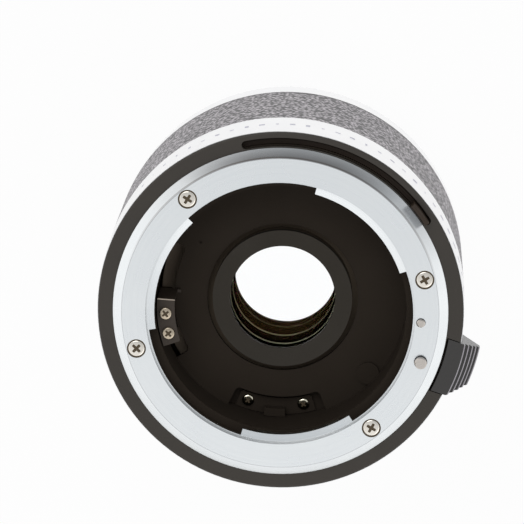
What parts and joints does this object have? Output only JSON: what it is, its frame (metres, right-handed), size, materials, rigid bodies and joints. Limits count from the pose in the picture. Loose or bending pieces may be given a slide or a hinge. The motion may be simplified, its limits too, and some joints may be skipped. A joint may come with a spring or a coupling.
{
  "type": "camera teleconverter",
  "caption": "Short tubular lens extender with a bayonet ring in front, a male bayonet behind, negative glass inside, a turning aperture coupling, a stop-down arm and a sliding release lever.",
  "frame": {"origin": "centre of the camera bayonet's flange face, on the optical axis", "axes": "+Z along the optical axis towards the lens that is mounted in front, +X towards the lock pin and the release lever, +Y to 12 o'clock of the lens mount"},
  "size_m": [0.0693, 0.0658, 0.0549],
  "materials": {
    "mount_chrome": "satin chrome on brass",
    "screw_nickel": "nickel-plated",
    "silver_anodised": "satin anodised",
    "black_anodised": "black anodised",
    "black_paint": "matt black",
    "leatherette": "grained, satin",
    "frame_aluminium": "dark anodised",
    "linkage_steel": "blackened",
    "spring_steel": "bright",
    "glass": "coated, polished"
  },
  "bodies": {
    "base": {"lens_mount_ring": "mount_chrome", "camera_mount_ring": "mount_chrome", "lens_mount_screws": "screw_nickel", "camera_mount_screws": "screw_nickel", "index_bracket_screws": "screw_nickel", "shell_screws": "screw_nickel", "carrier_screws": "screw_nickel", "frame_screws": "screw_nickel", "rear_baffle_screws": "screw_nickel", "front_band": "silver_anodised", "rear_band": "silver_anodised", "front_collar": "black_anodised", "front_baffle": "black_paint", "rear_baffle": "black_paint", "index_bracket": "black_paint", "front_retaining_ring": "black_paint", "rear_retaining_ring": "black_paint", "spacer_front": "black_paint", "spacer_middle": "black_paint", "spacer_rear": "black_paint", "lens_barrel": "black_paint", "grip_leather": "leatherette", "outer_shell": "frame_aluminium", "main_barrel": "frame_aluminium", "rear_frame": "frame_aluminium", "ring_retainer": "linkage_steel", "bayonet_springs": "spring_steel", "coupling_spring": "spring_steel", "release_spring": "spring_steel", "stop_down_spring": "spring_steel", "element_1": "glass", "element_2": "glass", "element_3": "glass", "element_4": "glass", "element_5": "glass", "element_6": "glass", "element_7": "glass"},
    "release": {"release_lever": "black_anodised", "lock_plate": "linkage_steel", "lock_pin": "screw_nickel", "guide_pin": "screw_nickel", "lever_pins": "screw_nickel"},
    "coupling": {"coupling_tab": "black_anodised", "coupling_sleeve": "frame_aluminium", "rear_coupling_ring": "black_anodised"},
    "stop_down": {"stop_down_ring": "linkage_steel", "stop_down_arm": "black_paint", "stop_down_plate": "black_paint", "stop_down_screws": "screw_nickel", "stop_down_finger": "linkage_steel"}
  },
  "joints": [
    {"name": "release_slide", "type": "slide", "parent": "base", "child": "release", "axis": [0, 0, -1], "range_m": [0, 0.0018], "stiffness_N_per_m": 400, "deforming": ["release_spring"]},
    {"name": "aperture_coupling", "type": "hinge", "parent": "base", "child": "coupling", "pos_m": [0, 0, 0.02], "axis": [0, 0, 1], "range_deg": [0, 58], "stiffness_Nm_per_rad": 0.01},
    {"name": "stop_down", "type": "hinge", "parent": "base", "child": "stop_down", "pos_m": [0, 0, 0.0332], "axis": [0, 0, 1], "range_deg": [-20, 0], "stiffness_Nm_per_rad": 0.01}
  ]
}
